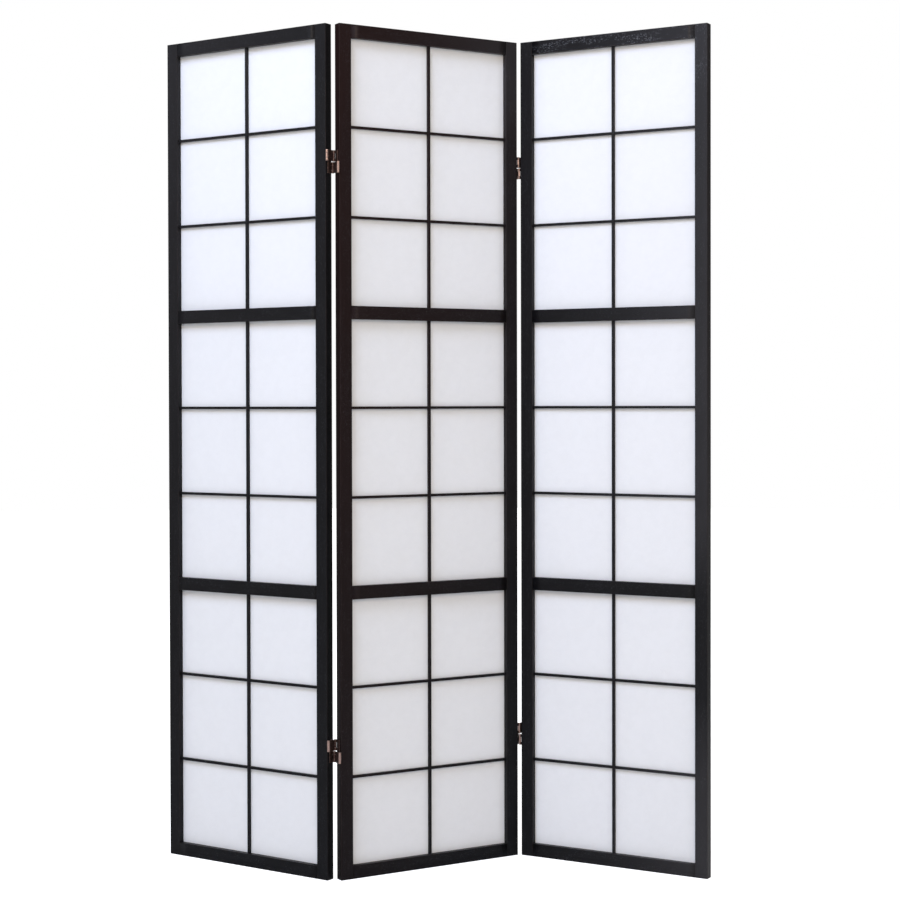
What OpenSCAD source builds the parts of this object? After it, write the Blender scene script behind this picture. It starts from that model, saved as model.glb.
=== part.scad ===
// Folding room divider: three papered lattice panels on double-acting screen hinges.
// Units are millimetres. X runs along the screen, -Y is its front and +Z is up.
// The origin is the centre of the footprint's bounding box, on the floor.

/* [Panels] */
// Height of each panel
panel_h = 1790; // [1500:10:2000]
// Width of each panel
panel_w = 440; // [380:5:520]
// Thickness of the frame, front face to back face
panel_t = 20; // [19:1:24]
// Face width of the two stiles
stile_w = 28; // [26:1:40]
// Face height of the four rails
rail_h = 28; // [26:1:40]
// Radius that eases the long arrises
arris_r = 0.8; // [0.4:0.1:1.2]

/* [Lattice] */
// Face width of a lattice bar
bar_w = 5.5; // [4.5:0.5:8]
// Distance from the frame's front face to the bars
bar_set_back = 6; // [4:0.5:7]
// Depth of a lattice bar, front to back
bar_d = 6.5; // [5:0.5:7]
// Cross bars in each opening
cross_bars_per_opening = 2; // [1:1:3]

/* [Paper] */
// Thickness of the paper
paper_t = 0.4; // [0.2:0.1:0.6]
// Width of the rebate that the paper and its beads sit in
rebate_w = 6; // [5.5:0.5:8]
// Gap from the beads' backs to the frame's back face
bead_set_back = 0.5; // [0.2:0.1:1]

/* [Folds] */
// Fold between the left and middle panels, backs turned together
left_fold = 65; // [20:1:120]
// Fold between the middle and right panels, fronts turned together
right_fold = 61; // [20:1:120]
// Turn of the middle panel away from the screen's run
middle_turn = 32; // [20:1:45]

/* [Hinges] */
// Overall height of a hinge
hinge_h = 48; // [44:2:70]
// Slot between the hinge's upper and lower halves
half_gap = 1.5; // [1:0.5:4]
// Left fold: distance from the panels' top to the centre of its upper hinge
left_hinge_from_top = 287; // [150:1:400]
// Left fold: distance from the floor to the centre of its lower hinge
left_hinge_from_floor = 270; // [150:1:400]
// Right fold: distance from the panels' top to the centre of its upper hinge
right_hinge_from_top = 275; // [150:1:400]
// Right fold: distance from the floor to the centre of its lower hinge
right_hinge_from_floor = 268; // [150:1:400]
// Sheet thickness of the leaves and links
leaf_t = 1.2; // [1:0.1:1.4]
// Outer radius of the knuckles
knuckle_r = 3; // [2.8:0.1:3.1]
// Radius of the hinge pins
pin_r = 1.25; // [1:0.05:1.5]
// Distance from the panel's edge to a pin's axis
pin_out = 3.3; // [3.3:0.1:4]
// Gap left between two panels when they are folded shut
shut_gap = 1.15; // [1:0.05:2]
// Length of the hinge screws
screw_len = 14; // [10:1:18]

/* [Hidden] */
$fn = 48;
lacquer_black = "#202023";
paper_white = "#f4f4f0";
antique_bronze = "#6b4636";
screw_brown = "#4a3228";

// How the frame is divided
opening_w = panel_w - 2 * stile_w;
opening_h = (panel_h - 4 * rail_h) / 3;
opening_pitch = opening_h + rail_h;
upright_x = panel_w / 2;
bar_back = bar_set_back + bar_d;
tenon_t = 8;
tenon_y = 3.5;
tenon_len = 18;
tenon_shoulder = 4;
joint_gap = 0.1;
stub_len = 5;
lap_gap = 0.05;
bead_fit = 0.1;
paper_fit = 0.5;
bead_back = panel_t - bead_set_back;

// How a hinge half is divided: leaf, link and leaf knuckles, from its foot up
half_h = (hinge_h - half_gap) / 2;
link_knuckle_h = 10;
knuckle_gap = 0.25;
outer_knuckle_h = (half_h - link_knuckle_h) / 2 - knuckle_gap;
turning_gap = 0.05;
seat_gap = 0.01;
link_len = panel_t + shut_gap;
link_shoulder = 3.8;
// The same beside a lower link's short pin
open_shoulder = 5.6;
leaf_relief = 6.5;
leaf_corner_r = 1.2;
knuckle_clear = 0.6;
web_t = 1.9;
pin_proud = 0.3;

// Countersunk hinge screws: [depth from the front face, height from the hinge's centre]
screw_places = [[9, 19.5], [9, 7], [panel_t - 9, -7], [panel_t - 9, -19.5]];
screw_head_r = 2.5;
screw_head_d = 1.15;
screw_shank_r = 1.3;
screw_tip_len = 4;
recess_w = 0.7;
recess_span = 2.8;
recess_d = 0.7;

// Heights of each fold's hinges, upper first
left_heights = [panel_h - left_hinge_from_top, left_hinge_from_floor];
right_heights = [panel_h - right_hinge_from_top, right_hinge_from_floor];

// Crossed links of a fold: angle of a link from the panel's edge at its open-side pin,
// and at its closed-side pin
function open_side_angle(fold) = let (
        across = panel_t * cos(fold / 2),
        along = sqrt(link_len * link_len - across * across)
    ) 90 - fold / 2 - atan2(across, along);
function shut_side_angle(fold) = fold + open_side_angle(fold);

function turned(p, angle) = [
    p.x * cos(angle) - p.y * sin(angle),
    p.x * sin(angle) + p.y * cos(angle)
];

left_open_angle = open_side_angle(left_fold);
left_shut_angle = shut_side_angle(left_fold);
right_open_angle = open_side_angle(right_fold);
right_shut_angle = shut_side_angle(right_fold);

// Pin axes in the middle panel's own frame
left_back_pin = [-pin_out, panel_t];
left_front_pin = [-pin_out, 0];
right_front_pin = [panel_w + pin_out, 0];
right_back_pin = [panel_w + pin_out, panel_t];

// Where the panels' own frames stand in the middle panel's frame: left, middle, right
panel_turns = [-left_fold, 0, -right_fold];
left_pin_on_left = left_back_pin
    + link_len * [-sin(left_shut_angle), -cos(left_shut_angle)];
right_pin_on_right = right_front_pin
    + link_len * [sin(right_shut_angle), cos(right_shut_angle)];
panel_starts = [
    left_pin_on_left - turned([panel_w + pin_out, 0], -left_fold),
    [0, 0],
    right_pin_on_right - turned([-pin_out, panel_t], -right_fold)
];

// Footprint of the whole screen once it is turned to its run
function footprint_point(p, i) = turned(panel_starts[i] + turned(p, panel_turns[i]), middle_turn);
corner_points = [for (i = [0:2], x = [arris_r, panel_w - arris_r], y = [arris_r, panel_t - arris_r])
    footprint_point([x, y], i)];
pin_points = concat(
    [for (i = [0, 1], y = [0, panel_t]) footprint_point([panel_w + pin_out, y], i)],
    [for (i = [1, 2], y = [0, panel_t]) footprint_point([-pin_out, y], i)]
);
function lowest(k) = min(concat(
    [for (p = corner_points) p[k] - arris_r], [for (p = pin_points) p[k] - knuckle_r]));
function highest(k) = max(concat(
    [for (p = corner_points) p[k] + arris_r], [for (p = pin_points) p[k] + knuckle_r]));
footprint_centre = [(lowest(0) + highest(0)) / 2, (lowest(1) + highest(1)) / 2];

LEFT = 0;
MIDDLE = 1;
RIGHT = 2;

// ---- placing ----

// Puts a part drawn in a panel's own frame into the screen. The panel's frame has its origin
// at the foot of the left front arris, X across the front and Y towards the back.
module in_panel(i) {
    translate([-footprint_centre.x, -footprint_centre.y, 0])
        rotate(middle_turn)
            translate([panel_starts[i].x, panel_starts[i].y, 0])
                rotate(panel_turns[i])
                    children();
}

// Edge frames: X points out of the edge and Y runs across it. The left edge's frame is the
// right edge's frame turned half round, so one leaf fits both.
module on_right_edge(i, z) {
    in_panel(i) translate([panel_w, 0, z]) children();
}

module on_left_edge(i, z) {
    in_panel(i) translate([0, panel_t, z]) rotate(180) children();
}

// ---- outlines ----

// Rectangle with its corners eased to radius r
module eased_rectangle(w, d, r) {
    translate([r, 0]) square([w - 2 * r, d]);
    translate([0, r]) square([w, d - 2 * r]);
    for (x = [r, w - r], y = [r, d - r]) translate([x, y]) circle(r, $fn = 32);
}

// ---- frame ----

// Height of the foot of rail k, counted from the floor
function rail_foot(k) = k * opening_pitch;
// Height of the foot of opening k
function opening_foot(k) = rail_h + k * opening_pitch;
// Height of the middle of cross bar j in opening k
function cross_bar_height(k, j) = let (
        pane_h = (opening_h - cross_bars_per_opening * bar_w) / (cross_bars_per_opening + 1)
    ) opening_foot(k) + (j + 1) * (pane_h + bar_w) - bar_w / 2;

// Stile drawn as the left one, its outer edge at x = 0, with its mortises, its rebates and
// the notches that the cross bars drop into from behind
module stile_blank() {
    difference() {
        linear_extrude(panel_h) eased_rectangle(stile_w, panel_t, arris_r);
        for (k = [0:3])
            translate([stile_w - tenon_len, tenon_y - joint_gap, rail_foot(k) + tenon_shoulder - joint_gap])
                cube([tenon_len + 1, tenon_t + 2 * joint_gap, rail_h - 2 * tenon_shoulder + 2 * joint_gap]);
        for (k = [0:2]) {
            translate([stile_w - rebate_w, bar_back, opening_foot(k) - rebate_w])
                cube([rebate_w + 1, panel_t, opening_h + 2 * rebate_w]);
            for (j = [0:cross_bars_per_opening - 1])
                translate([stile_w - stub_len - lap_gap, bar_set_back - lap_gap,
                        cross_bar_height(k, j) - bar_w / 2 - lap_gap])
                    cube([stub_len + 1, bar_d + 1, bar_w + 2 * lap_gap]);
        }
    }
}

// Pilot holes under the leaves of one edge at those heights, in that edge's frame at floor height
module pilot_holes(heights) {
    for (z = heights, p = screw_places)
        translate([1, p[0], z + p[1]])
            rotate([0, -90, 0])
                cylinder(h = screw_len + 1, r = screw_shank_r + seat_gap);
}

// Left stile of a panel. heights are those of the leaves screwed to its outer edge.
module left_stile(heights) {
    color(lacquer_black)
        difference() {
            stile_blank();
            translate([0, panel_t, 0]) rotate(180) pilot_holes(heights);
        }
}

// Right stile of a panel, the left one mirrored
module right_stile(heights) {
    color(lacquer_black)
        difference() {
            translate([panel_w, 0, 0]) mirror([1, 0, 0]) stile_blank();
            translate([panel_w, 0, 0]) pilot_holes(heights);
        }
}

// Rail k between the stiles, tenoned into both, rebated behind wherever it meets an opening
module rail(k) {
    color(lacquer_black)
        difference() {
            union() {
                translate([stile_w, 0, rail_foot(k)])
                    rotate([90, 0, 90])
                        linear_extrude(opening_w) eased_rectangle(panel_t, rail_h, arris_r);
                translate([stile_w - tenon_len + joint_gap, tenon_y, rail_foot(k) + tenon_shoulder])
                    cube([opening_w + 2 * (tenon_len - joint_gap), tenon_t, rail_h - 2 * tenon_shoulder]);
            }
            if (k > 0) rail_rebate(k, rail_foot(k), k - 1, opening_h);
            if (k < 3) rail_rebate(k, rail_foot(k) + rail_h - rebate_w, k, 0);
        }
}

// Rebate and upright-bar notch along one edge of rail k; z is the rebate's foot
module rail_rebate(k, z, opening, at) {
    translate([0, bar_back, z - (at > 0 ? 1 : 0)]) cube([panel_w, panel_t, rebate_w + 1]);
    translate([upright_x - bar_w / 2 - lap_gap, bar_set_back - lap_gap,
            opening_foot(opening) + at - (at > 0 ? 1 : stub_len + lap_gap)])
        cube([bar_w + 2 * lap_gap, bar_d + 1, stub_len + lap_gap + 1]);
}

// ---- lattice ----

// Upright bar in each opening, half-lapped from behind over the cross bars
module upright_bars() {
    color(lacquer_black)
        for (k = [0:2])
            difference() {
                translate([upright_x - bar_w / 2, bar_set_back, opening_foot(k) - stub_len])
                    cube([bar_w, bar_d, opening_h + 2 * stub_len]);
                for (j = [0:cross_bars_per_opening - 1])
                    translate([upright_x - bar_w, bar_set_back + bar_d / 2 - lap_gap / 2,
                            cross_bar_height(k, j) - bar_w / 2 - lap_gap])
                        cube([2 * bar_w, bar_d, bar_w + 2 * lap_gap]);
            }
}

// Cross bars of the three openings, half-lapped from the front under the upright bars
module cross_bars() {
    color(lacquer_black)
        for (k = [0:2], j = [0:cross_bars_per_opening - 1])
            difference() {
                translate([stile_w - stub_len, bar_set_back, cross_bar_height(k, j) - bar_w / 2])
                    cube([opening_w + 2 * stub_len, bar_d, bar_w]);
                translate([upright_x - bar_w / 2 - lap_gap, bar_set_back - 1,
                        cross_bar_height(k, j) - bar_w])
                    cube([bar_w + 2 * lap_gap, bar_d / 2 + lap_gap / 2 + 1, 2 * bar_w]);
            }
}

// ---- paper and its beads ----

// One sheet in each opening, against the rebates and the backs of the bars
module paper() {
    color(paper_white)
        for (k = [0:2])
            translate([stile_w - rebate_w + paper_fit, bar_back, opening_foot(k) - rebate_w + paper_fit])
                cube([opening_w + 2 * (rebate_w - paper_fit), paper_t,
                    opening_h + 2 * (rebate_w - paper_fit)]);
}

// Four strips round each opening fill the rebate behind the paper
module paper_beads() {
    bead_w = rebate_w - bead_fit;
    bead_d = bead_back - bar_back - paper_t;
    color(lacquer_black)
        for (k = [0:2]) {
            for (z = [opening_foot(k) - bead_w, opening_foot(k) + opening_h])
                translate([stile_w - bead_w, bar_back + paper_t, z])
                    cube([opening_w + 2 * bead_w, bead_d, bead_w]);
            for (x = [stile_w - bead_w, panel_w - stile_w])
                translate([x, bar_back + paper_t, opening_foot(k) + bead_fit])
                    cube([bead_w, bead_d, opening_h - 2 * bead_fit]);
        }
}

// ---- hinges ----

// Sheet outline of a leaf on the edge: its upper half reaches forward to the front pin and
// its lower half back to the back pin. X is the depth from the front face, Y the height.
module leaf_outline() {
    translate([0, half_gap / 2]) eased_rectangle(panel_t - leaf_relief, half_h, leaf_corner_r);
    translate([leaf_relief, -hinge_h / 2]) eased_rectangle(panel_t - leaf_relief, half_h, leaf_corner_r);
    translate([leaf_relief, -hinge_h / 4]) square([panel_t - 2 * leaf_relief, hinge_h / 2]);
}

// The two leaf knuckles of one half; z is the half's foot and y the pin's depth
module leaf_knuckles(y, z) {
    for (foot = [z, z + half_h - outer_knuckle_h])
        translate([pin_out, y, foot]) cylinder(h = outer_knuckle_h, r = knuckle_r);
    for (foot = [z, z + half_h - outer_knuckle_h])
        translate([0, y - web_t / 2, foot]) cube([web_t, web_t, outer_knuckle_h]);
}

// Room for the link's knuckle, and the bore that the pin turns in
module leaf_clearances(y, z) {
    translate([-1, y - knuckle_r - knuckle_clear, z + outer_knuckle_h])
        cube([leaf_t + 2, 2 * (knuckle_r + knuckle_clear), link_knuckle_h + 2 * knuckle_gap]);
    translate([pin_out, y, z - 1]) cylinder(h = half_h + 2, r = pin_r + turning_gap);
}

// Leaf in an edge frame, centred on the hinge's height
module leaf() {
    color(antique_bronze)
        difference() {
            union() {
                rotate([90, 0, 90]) linear_extrude(leaf_t) leaf_outline();
                leaf_knuckles(0, half_gap / 2);
                leaf_knuckles(panel_t, -hinge_h / 2);
            }
            leaf_clearances(0, half_gap / 2);
            leaf_clearances(panel_t, -hinge_h / 2);
            for (p = screw_places)
                translate([leaf_t, p[0], p[1]])
                    rotate([0, -90, 0]) {
                        translate([0, 0, -seat_gap])
                            cylinder(h = screw_head_d + seat_gap, r1 = screw_head_r + seat_gap,
                                r2 = screw_shank_r + seat_gap);
                        cylinder(h = leaf_t + 1, r = screw_shank_r + seat_gap);
                    }
        }
}

// Link of one half: a plate between two knuckles, drawn from the first pin along +Y.
// z is the half's foot, far_shoulder the clear length beside the second pin.
module link(z, far_shoulder) {
    knuckle_foot = z + outer_knuckle_h + knuckle_gap;
    color(antique_bronze)
        difference() {
            union() {
                for (y = [0, link_len])
                    translate([0, y, knuckle_foot]) cylinder(h = link_knuckle_h, r = knuckle_r);
                translate([-leaf_t / 2, 0, knuckle_foot]) cube([leaf_t, link_len, link_knuckle_h]);
                translate([-leaf_t / 2, link_shoulder, z])
                    cube([leaf_t, link_len - link_shoulder - far_shoulder, half_h]);
            }
            for (y = [0, link_len])
                translate([0, y, z]) cylinder(h = half_h, r = pin_r + seat_gap);
        }
}

// Pin of one half, with its ends a little proud of the knuckles
module pin(z) {
    translate([0, 0, z - pin_proud]) cylinder(h = half_h + 2 * pin_proud, r = pin_r);
}

// Pin that stays inside the link's own knuckle
module short_pin(z) {
    translate([0, 0, z + outer_knuckle_h + knuckle_gap]) cylinder(h = link_knuckle_h, r = pin_r);
}

upper_half_foot = half_gap / 2;
lower_half_foot = -hinge_h / 2;

// Link frames: origin on the middle panel's pin, +Y along the link
module along_link(pivot, angle, z) {
    in_panel(MIDDLE) translate([pivot.x, pivot.y, z]) rotate(angle) children();
}

module on_left_upper_link(z) {
    along_link(left_back_pin, 180 - left_shut_angle, z) children();
}

module on_left_lower_link(z) {
    along_link(left_front_pin, left_open_angle, z) children();
}

module on_right_upper_link(z) {
    along_link(right_front_pin, -right_shut_angle, z) children();
}

module on_right_lower_link(z) {
    along_link(right_back_pin, 180 + right_open_angle, z) children();
}

// Upper links turn on a full pin at each end
module upper_pins() {
    color(screw_brown) {
        pin(upper_half_foot);
        translate([0, link_len, 0]) pin(upper_half_foot);
    }
}

// Lower links have a full pin on the middle panel and a short one at the side panel
module lower_pins() {
    color(screw_brown) {
        pin(lower_half_foot);
        translate([0, link_len, 0]) short_pin(lower_half_foot);
    }
}

// Countersunk wood screw, its head's face at z = 0 and its point down
module screw() {
    difference() {
        rotate_extrude()
            polygon([[0, 0], [screw_head_r, 0], [screw_shank_r, -screw_head_d],
                [screw_shank_r, screw_tip_len - screw_len], [0, -screw_len]]);
        for (angle = [0, 90])
            rotate(angle)
                translate([-recess_span / 2, -recess_w / 2, -recess_d])
                    cube([recess_span, recess_w, 1]);
    }
}

// The four screws of one leaf, in an edge frame
module leaf_screws() {
    for (p = screw_places)
        translate([leaf_t, p[0], p[1]]) rotate([0, 90, 0]) screw();
}

// Screws of every leaf on panel i: the left panel's right edge, both of the middle's, the right's left edge
module hinge_screws(i) {
    color(screw_brown) {
        if (i < RIGHT)
            for (z = i == LEFT ? left_heights : right_heights)
                on_right_edge(i, z) leaf_screws();
        if (i > LEFT)
            for (z = i == RIGHT ? right_heights : left_heights)
                on_left_edge(i, z) leaf_screws();
    }
}

// ---- nodes ----

in_panel(LEFT) left_stile([]);  // left_panel_left_stile
in_panel(LEFT) right_stile(left_heights);  // left_panel_right_stile
in_panel(LEFT) rail(3);  // left_panel_top_rail
in_panel(LEFT) rail(2);  // left_panel_upper_rail
in_panel(LEFT) rail(1);  // left_panel_lower_rail
in_panel(LEFT) rail(0);  // left_panel_bottom_rail
in_panel(LEFT) upright_bars();  // left_panel_upright_bars
in_panel(LEFT) cross_bars();  // left_panel_cross_bars
in_panel(LEFT) paper();  // left_panel_paper
in_panel(LEFT) paper_beads();  // left_panel_paper_beads
hinge_screws(LEFT);  // left_panel_hinge_screws

in_panel(MIDDLE) left_stile(left_heights);  // middle_panel_left_stile
in_panel(MIDDLE) right_stile(right_heights);  // middle_panel_right_stile
in_panel(MIDDLE) rail(3);  // middle_panel_top_rail
in_panel(MIDDLE) rail(2);  // middle_panel_upper_rail
in_panel(MIDDLE) rail(1);  // middle_panel_lower_rail
in_panel(MIDDLE) rail(0);  // middle_panel_bottom_rail
in_panel(MIDDLE) upright_bars();  // middle_panel_upright_bars
in_panel(MIDDLE) cross_bars();  // middle_panel_cross_bars
in_panel(MIDDLE) paper();  // middle_panel_paper
in_panel(MIDDLE) paper_beads();  // middle_panel_paper_beads
hinge_screws(MIDDLE);  // middle_panel_hinge_screws

in_panel(RIGHT) left_stile(right_heights);  // right_panel_left_stile
in_panel(RIGHT) right_stile([]);  // right_panel_right_stile
in_panel(RIGHT) rail(3);  // right_panel_top_rail
in_panel(RIGHT) rail(2);  // right_panel_upper_rail
in_panel(RIGHT) rail(1);  // right_panel_lower_rail
in_panel(RIGHT) rail(0);  // right_panel_bottom_rail
in_panel(RIGHT) upright_bars();  // right_panel_upright_bars
in_panel(RIGHT) cross_bars();  // right_panel_cross_bars
in_panel(RIGHT) paper();  // right_panel_paper
in_panel(RIGHT) paper_beads();  // right_panel_paper_beads
hinge_screws(RIGHT);  // right_panel_hinge_screws

on_right_edge(LEFT, left_heights[0]) leaf();  // left_top_hinge_side_leaf
on_left_edge(MIDDLE, left_heights[0]) leaf();  // left_top_hinge_middle_leaf
on_right_edge(LEFT, left_heights[1]) leaf();  // left_bottom_hinge_side_leaf
on_left_edge(MIDDLE, left_heights[1]) leaf();  // left_bottom_hinge_middle_leaf
on_right_edge(MIDDLE, right_heights[0]) leaf();  // right_top_hinge_middle_leaf
on_left_edge(RIGHT, right_heights[0]) leaf();  // right_top_hinge_side_leaf
on_right_edge(MIDDLE, right_heights[1]) leaf();  // right_bottom_hinge_middle_leaf
on_left_edge(RIGHT, right_heights[1]) leaf();  // right_bottom_hinge_side_leaf

on_left_upper_link(left_heights[0]) link(upper_half_foot, link_shoulder);  // left_top_hinge_upper_link
on_left_lower_link(left_heights[0]) link(lower_half_foot, open_shoulder);  // left_top_hinge_lower_link
on_left_upper_link(left_heights[1]) link(upper_half_foot, link_shoulder);  // left_bottom_hinge_upper_link
on_left_lower_link(left_heights[1]) link(lower_half_foot, open_shoulder);  // left_bottom_hinge_lower_link
on_right_upper_link(right_heights[0]) link(upper_half_foot, link_shoulder);  // right_top_hinge_upper_link
on_right_lower_link(right_heights[0]) link(lower_half_foot, open_shoulder);  // right_top_hinge_lower_link
on_right_upper_link(right_heights[1]) link(upper_half_foot, link_shoulder);  // right_bottom_hinge_upper_link
on_right_lower_link(right_heights[1]) link(lower_half_foot, open_shoulder);  // right_bottom_hinge_lower_link

for (z = left_heights) on_left_upper_link(z) upper_pins();  // left_upper_link_pins
for (z = left_heights) on_left_lower_link(z) lower_pins();  // left_lower_link_pins
for (z = right_heights) on_right_upper_link(z) upper_pins();  // right_upper_link_pins
for (z = right_heights) on_right_lower_link(z) lower_pins();  // right_lower_link_pins
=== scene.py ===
"""Folding room divider screen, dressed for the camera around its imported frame.

Three papered lattice panels in black lacquered frames, joined by double-acting screen hinges. Every length
is in metres. A panel's own frame has its origin at the foot of the left front arris, X across the front,
Y towards the back and Z up; an edge's frame has X out of the edge and Y across it.
"""

from __future__ import annotations

import logging
import math
import random
from dataclasses import dataclass, field
from enum import Enum
from functools import partialmethod
from typing import Callable, Iterable, Sequence

import bmesh
import bpy
from bmesh.types import BMesh, BMVert
from bpy.types import Material, Mesh, Node, NodeSocket, NodeTree, Object
from mathutils import Matrix, Vector, noise

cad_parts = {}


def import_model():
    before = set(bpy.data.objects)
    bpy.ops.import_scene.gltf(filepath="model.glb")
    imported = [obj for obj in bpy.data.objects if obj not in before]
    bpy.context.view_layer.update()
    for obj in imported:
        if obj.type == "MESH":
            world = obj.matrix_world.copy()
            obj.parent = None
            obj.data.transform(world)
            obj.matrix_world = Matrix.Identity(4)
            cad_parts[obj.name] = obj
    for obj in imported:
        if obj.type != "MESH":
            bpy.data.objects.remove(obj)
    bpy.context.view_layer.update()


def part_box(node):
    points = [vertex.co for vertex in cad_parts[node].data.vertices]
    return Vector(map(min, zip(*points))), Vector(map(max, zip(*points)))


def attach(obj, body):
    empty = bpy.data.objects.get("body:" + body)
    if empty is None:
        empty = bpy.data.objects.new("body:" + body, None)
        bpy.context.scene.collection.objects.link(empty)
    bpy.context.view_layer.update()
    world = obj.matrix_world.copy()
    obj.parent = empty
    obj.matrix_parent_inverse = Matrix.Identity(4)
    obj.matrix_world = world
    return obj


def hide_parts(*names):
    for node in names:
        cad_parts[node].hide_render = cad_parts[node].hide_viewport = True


LOG = logging.getLogger("screen")
MM = 0.001

Point = tuple[float, float, float]
Colour = tuple[float, float, float]
Vertex = Sequence[float]
Outline = Sequence[tuple[float, float]]
WHITE: Colour = (1.0, 1.0, 1.0)


# ---- shader writing ----


class Writer:
    """A node tree being written."""

    def __init__(self, tree: NodeTree) -> None:
        """Start from a tree."""
        self.tree = tree

    def feed(self, slot: NodeSocket, value: object) -> None:
        """Link or set one input socket."""
        if isinstance(value, Sock):
            self.tree.links.new(value.socket, slot)
        else:
            slot.default_value = (*value, 1.0) if slot.type == "RGBA" else value

    def node(
        self, kind: str, settings: dict[str, object] | None = None, at: dict[int, object] | None = None,
        **inputs: object,
    ) -> Node:
        """Add one node.

        Args:
            kind: the node's type.
            settings: attributes set before its sockets.
            at: values or links, by socket number.
            inputs: values or links, by socket name with spaces as underscores.

        Returns:
            The node.
        """
        made = self.tree.nodes.new(kind)
        for key, value in (settings or {}).items():
            setattr(made, key, value)
        for number, value in (at or {}).items():
            self.feed(made.inputs[number], value)
        for key, value in inputs.items():
            self.feed(made.inputs[key.replace("_", " ")], value)
        return made

    def add(self, kind: str, out: str | int = 0, *how: object, **inputs: object) -> Sock:
        """Add one node, as node() does, and return one of its outputs."""
        return Sock(self, self.node(kind, *how, **inputs).outputs[out])

    def ramp(self, value: Sock, *ends: float) -> Sock:
        """Smooth step of a value, given its From Min, From Max, To Min and To Max."""
        named = dict(zip(("From_Min", "From_Max", "To_Min", "To_Max"), ends))
        how = {"interpolation_type": "SMOOTHSTEP"}
        return self.add("ShaderNodeMapRange", "Result", how, Value=value, **named)


@dataclass(frozen=True)
class Sock:
    """A value in a tree. Arithmetic on it adds Math nodes."""

    writer: Writer
    socket: NodeSocket

    def math(self, operation: str, *others: Sock | float) -> Sock:
        """Join this value to others, values or numbers, with one Math node."""
        return self.writer.add("ShaderNodeMath", 0, {"operation": operation}, dict(enumerate((self, *others))))

    __add__ = __radd__ = partialmethod(math, "ADD")
    __sub__ = partialmethod(math, "SUBTRACT")
    __mul__ = __rmul__ = partialmethod(math, "MULTIPLY")
    __abs__ = partialmethod(math, "ABSOLUTE")

    def __rsub__(self, other: float) -> Sock:
        """Difference from a number."""
        return self.math("MULTIPLY_ADD", -1.0, other)

    def step(self, low: float, high: float) -> Sock:
        """Smooth step from 0 at low to 1 at high; low may be the larger."""
        falls = float(low > high)
        return self.writer.ramp(self, min(low, high), max(low, high), falls, 1.0 - falls)


class Shader(Writer):
    """A material being written, with its Principled BSDF."""

    def __init__(self, name: str) -> None:
        """Start an empty material of that name."""
        self.material = bpy.data.materials.new(name)
        self.material.use_nodes = True
        super().__init__(self.material.node_tree)
        self.tree.nodes.clear()
        self.bsdf = self.node("ShaderNodeBsdfPrincipled")
        self.node("ShaderNodeOutputMaterial", Surface=Sock(self, self.bsdf.outputs[0]))

    def attribute(self, name: str, out: str = "Vector") -> Sock:
        """Read a named attribute of the mesh."""
        return self.add("ShaderNodeAttribute", out, {"attribute_name": name})

    def object_place(self) -> Sock:
        """Object coordinates, which are the screen's own metres."""
        return self.add("ShaderNodeTexCoord", "Object")

    def noise(
        self, vector: Sock, scale: Point | float, detail: float = 3.0, rough: float = 0.5, bend: float = 0.0
    ) -> Sock:
        """Fractal noise about 0.5 at a vector, at one scale or at one for each axis."""
        if isinstance(scale, tuple):
            vector = self.add("ShaderNodeMapping", Vector=vector, Scale=scale)
            scale = 1.0
        return self.add(
            "ShaderNodeTexNoise", "Fac", Vector=vector, Scale=scale, Detail=detail, Roughness=rough,
            Distortion=bend,
        )

    def mix(self, factor: Sock | float, a: Sock | Colour, b: Sock | Colour) -> Sock:
        """Blend two colours."""
        return self.add("ShaderNodeMix", 2, {"data_type": "RGBA"}, {0: factor, 6: a, 7: b})

    def parts(self, vector: Sock) -> list[Sock]:
        """Split a vector into its three components."""
        return [Sock(self, out) for out in self.node("ShaderNodeSeparateXYZ", Vector=vector).outputs]

    def finish(self, **inputs: object) -> Material:
        """Feed the Principled BSDF and return the material."""
        for key, value in inputs.items():
            self.feed(self.bsdf.inputs[key.replace("_", " ")], value)
        return self.material

    def bump(self, height: Sock, depth: float, strength: float) -> None:
        """Feed the shader's normal from a height of that depth."""
        self.finish(Normal=self.add("ShaderNodeBump", Height=height, Distance=depth, Strength=strength))


# ---- finishes ----

GRAIN = "grain"
WEAR_AND_HIGHLIGHT = "wear"
TONE_AND_LIGHT = "tone"
SHEET_PLACE = "sheet_place"
AIM = "aim"


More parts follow.
